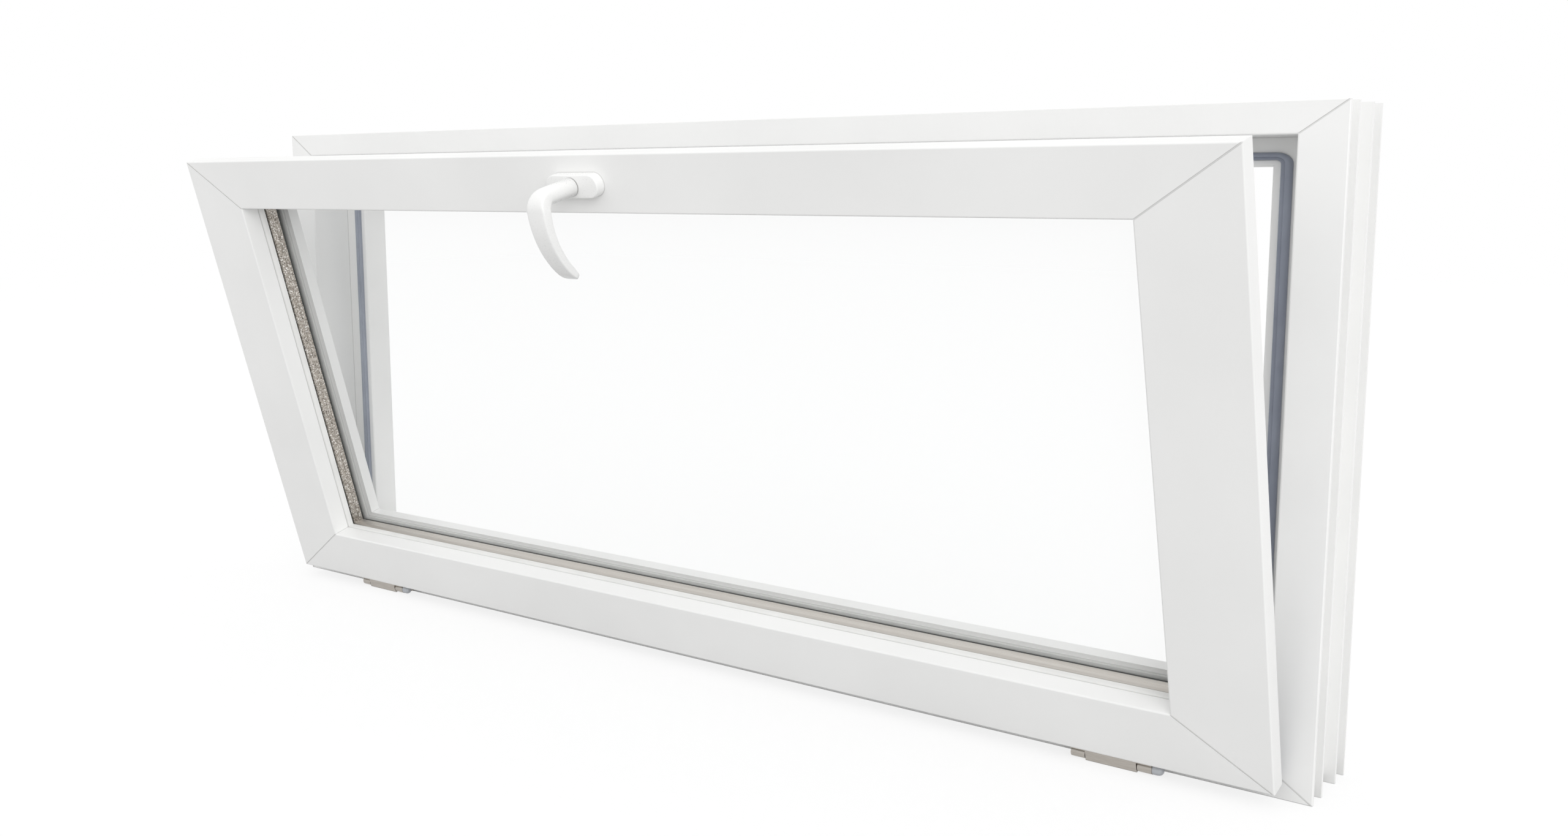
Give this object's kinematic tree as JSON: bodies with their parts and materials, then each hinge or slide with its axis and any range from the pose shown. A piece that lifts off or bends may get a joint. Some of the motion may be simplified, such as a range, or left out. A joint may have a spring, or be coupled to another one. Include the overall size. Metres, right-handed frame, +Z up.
{
  "type": "hopper window",
  "caption": "Wide white plastic hopper window: ribbed frame with soft seals, mitred bottom-hung sash with sealed glazing tilting inwards, barrel hinges and a curved lever handle.",
  "frame": {"origin": "middle of the frame's width on the tip plane of its bottom ribs, under the first rib behind the room face", "axes": "+X to the right seen from the room, +Y from the room outwards, +Z up"},
  "size_m": [1.4, 0.3202, 0.6],
  "materials": {
    "upvc_white": "satin extruded",
    "seal_blue_grey": "matte",
    "seal_light_grey": "matte",
    "clear_glass": "clear float",
    "spacer_metal": "speckled satin",
    "hinge_metal": "satin",
    "cap_plastic": "satin",
    "lever_paint": "powder coated"
  },
  "bodies": {
    "frame": {"frame_sill": "upvc_white", "frame_head": "upvc_white", "frame_left_jamb": "upvc_white", "frame_right_jamb": "upvc_white", "frame_gasket": "seal_blue_grey", "left_hinge_frame_leaf": "hinge_metal", "left_hinge_pin": "hinge_metal", "left_hinge_cap": "cap_plastic", "right_hinge_frame_leaf": "hinge_metal", "right_hinge_pin": "hinge_metal", "right_hinge_cap": "cap_plastic"},
    "sash": {"sash_bottom_rail": "upvc_white", "sash_top_rail": "upvc_white", "sash_left_stile": "upvc_white", "sash_right_stile": "upvc_white", "bottom_bead": "upvc_white", "top_bead": "upvc_white", "left_bead": "upvc_white", "right_bead": "upvc_white", "sash_gasket": "seal_blue_grey", "inner_glass_gasket": "seal_light_grey", "outer_glass_gasket": "seal_light_grey", "inner_pane": "clear_glass", "outer_pane": "clear_glass", "spacer_bar": "spacer_metal", "handle_rosette": "lever_paint", "left_hinge_sash_leaf": "hinge_metal", "right_hinge_sash_leaf": "hinge_metal"},
    "handle": {"handle_lever": "lever_paint"}
  },
  "joints": [
    {"name": "sash_tilt", "type": "hinge", "parent": "frame", "child": "sash", "pos_m": [0, -0.04025, 0.006], "axis": [-1, 0, 0], "range_deg": [0, 15]},
    {"name": "handle_turn", "type": "hinge", "parent": "sash", "child": "handle", "pos_m": [0, -0.19223, 0.53261], "axis": [0, -0.9659, -0.2588], "range_deg": [0, 90]}
  ]
}
